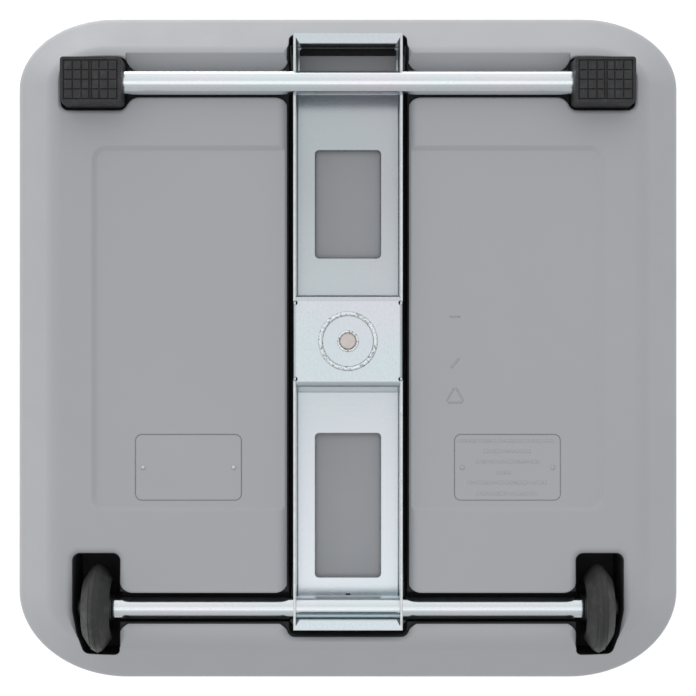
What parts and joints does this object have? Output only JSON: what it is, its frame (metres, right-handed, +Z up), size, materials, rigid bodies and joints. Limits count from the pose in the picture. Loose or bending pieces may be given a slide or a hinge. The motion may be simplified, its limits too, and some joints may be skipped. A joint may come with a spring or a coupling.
{
  "type": "digital bathroom scale",
  "caption": "Square digital floor scale: grey moulded platform on a central load cell, over a zinc-plated steel channel with rubber feet in front and small wheels behind.",
  "frame": {"origin": "on the floor, under the centre of the platform's outline", "axes": "+X to the user's right, +Y away from the user towards the display and the wheels, +Z up"},
  "size_m": [0.4, 0.4, 0.0692],
  "materials": {
    "shell_plastic": "fine moulded texture",
    "deck_plastic": "fine moulded texture",
    "mat_rubber": "ribbed, matt",
    "cover_plastic": "fine moulded texture",
    "plate_plastic": "embossed label",
    "fixing_steel": "zinc plated",
    "battery_wrap": "plain printed wrap",
    "spring_steel": "nickel plated",
    "plate_steel": "zinc plated",
    "cell_aluminium": "machined",
    "cable_sheath": "smooth sheath",
    "pad_rubber": "matt",
    "bezel_plastic": "polished",
    "window_clear": "clear",
    "lcd_film": "grey-green film",
    "board_resist": "solder resist",
    "button_plastic": "satin",
    "channel_zinc": "bright zinc plating",
    "tube_zinc": "bright zinc plating",
    "weld_zinc": "rough weld",
    "stud_steel": "zinc plated",
    "foot_rubber": "matt",
    "tyre_rubber": "matt",
    "hub_plastic": "satin"
  },
  "bodies": {
    "frame": {"frame_channel": "channel_zinc", "centre_boss": "channel_zinc", "centre_stud": "stud_steel", "centre_welds": "weld_zinc", "load_cell_core": "cell_aluminium", "front_tube": "tube_zinc", "foot_left": "foot_rubber", "foot_right": "foot_rubber", "axle_tube": "tube_zinc", "axle_rod": "tube_zinc", "axle_washers": "hub_plastic", "axle_caps": "hub_plastic"},
    "platform": {"bottom_shell": "shell_plastic", "top_shell": "deck_plastic", "anti_slip_mat": "mat_rubber", "battery_cover": "cover_plastic", "cover_screws": "fixing_steel", "rating_plate": "plate_plastic", "plate_rivets": "plate_plastic", "batteries": "battery_wrap", "battery_contacts": "spring_steel", "load_plate": "plate_steel", "load_cell_ring": "cell_aluminium", "cell_screws": "fixing_steel", "plate_screws": "fixing_steel", "cell_cable": "cable_sheath", "front_stop_pad": "pad_rubber", "display_bezel": "bezel_plastic", "display_window": "window_clear", "lcd_panel": "lcd_film", "lcd_connectors": "pad_rubber", "main_board": "board_resist", "button_switches": "hub_plastic"},
    "button_left": {"button_left": "button_plastic"},
    "button_middle": {"button_middle": "button_plastic"},
    "button_right": {"button_right": "button_plastic"},
    "wheel_left": {"wheel_hub_left": "hub_plastic", "wheel_tyre_left": "tyre_rubber"},
    "wheel_right": {"wheel_hub_right": "hub_plastic", "wheel_tyre_right": "tyre_rubber"}
  },
  "joints": [
    {"name": "platform_sink", "type": "slide", "parent": "frame", "child": "platform", "axis": [0, 0, 1], "range_m": [-0.0008, 0], "stiffness_N_per_m": 120000, "springref_m": 0.0004},
    {"name": "button_left_press", "type": "slide", "parent": "platform", "child": "button_left", "axis": [0, 0, 1], "range_m": [-0.0008, 0], "stiffness_N_per_m": 100, "springref_m": 0.0006},
    {"name": "button_middle_press", "type": "slide", "parent": "platform", "child": "button_middle", "axis": [0, 0, 1], "range_m": [-0.0008, 0], "stiffness_N_per_m": 100, "springref_m": 0.0006},
    {"name": "button_right_press", "type": "slide", "parent": "platform", "child": "button_right", "axis": [0, 0, 1], "range_m": [-0.0008, 0], "stiffness_N_per_m": 100, "springref_m": 0.0006},
    {"name": "wheel_left_turn", "type": "hinge", "parent": "frame", "child": "wheel_left", "pos_m": [-0.1486, 0.1548, 0.0265], "axis": [1, 0, 0], "continuous": true},
    {"name": "wheel_right_turn", "type": "hinge", "parent": "frame", "child": "wheel_right", "pos_m": [0.1486, 0.1548, 0.0265], "axis": [1, 0, 0], "continuous": true}
  ]
}
